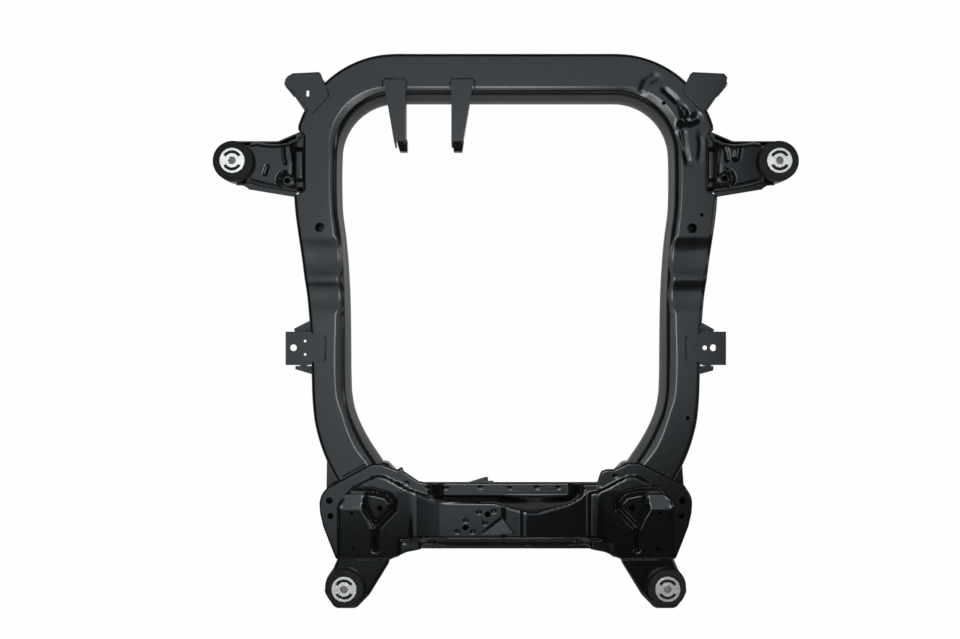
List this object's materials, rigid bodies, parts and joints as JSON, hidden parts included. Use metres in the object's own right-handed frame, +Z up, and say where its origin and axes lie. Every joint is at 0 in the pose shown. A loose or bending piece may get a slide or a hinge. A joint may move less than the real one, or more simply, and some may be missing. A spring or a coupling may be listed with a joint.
{
  "type": "car front subframe",
  "caption": "Black coated steel subframe: a bent tube frame closed by a pressed crossmember, with rubber-bushed arms and small welded brackets.",
  "frame": {"origin": "on the floor under the four bush cores, at the middle of the part's box", "axes": "+X to the car's right, +Y to the car's front, +Z up; the fingers for the engine mount are left of the middle"},
  "size_m": [0.9672, 0.919, 0.097],
  "materials": {
    "black_coated_steel": "satin black dip coat",
    "black_sleeve": "dull black coat",
    "bush_rubber": "matt",
    "bright_aluminium": "satin, as machined"
  },
  "bodies": {
    "root": {"box_weld_nuts": "black_coated_steel", "bush_core_front_left": "bright_aluminium", "bush_core_front_right": "bright_aluminium", "bush_core_rear_left": "bright_aluminium", "bush_core_rear_right": "bright_aluminium", "bush_ring_front_left": "black_coated_steel", "bush_ring_front_right": "black_coated_steel", "bush_ring_rear_left": "black_coated_steel", "bush_ring_rear_right": "black_coated_steel", "bush_rubber_front_left": "bush_rubber", "bush_rubber_front_right": "bush_rubber", "bush_rubber_rear_left": "bush_rubber", "bush_rubber_rear_right": "bush_rubber", "bush_sleeve_front_left": "black_sleeve", "bush_sleeve_front_right": "black_sleeve", "bush_sleeve_rear_left": "black_sleeve", "bush_sleeve_rear_right": "black_sleeve", "corner_bracket_left": "black_coated_steel", "corner_bracket_right": "black_coated_steel", "crossmember_lower_shell": "black_coated_steel", "crossmember_upper_shell": "black_coated_steel", "engine_mount_finger_left": "black_coated_steel", "engine_mount_finger_right": "black_coated_steel", "frame_tube": "black_coated_steel", "front_arm_lower_left": "black_coated_steel", "front_arm_lower_right": "black_coated_steel", "front_arm_upper_left": "black_coated_steel", "front_arm_upper_right": "black_coated_steel", "front_clip_tab": "black_coated_steel", "rear_arm_lower_left": "black_coated_steel", "rear_arm_lower_right": "black_coated_steel", "rear_arm_upper_left": "black_coated_steel", "rear_arm_upper_right": "black_coated_steel", "side_bracket_left": "black_coated_steel", "side_bracket_right": "black_coated_steel", "side_gusset_left": "black_coated_steel", "side_gusset_right": "black_coated_steel"}
  },
  "joints": []
}
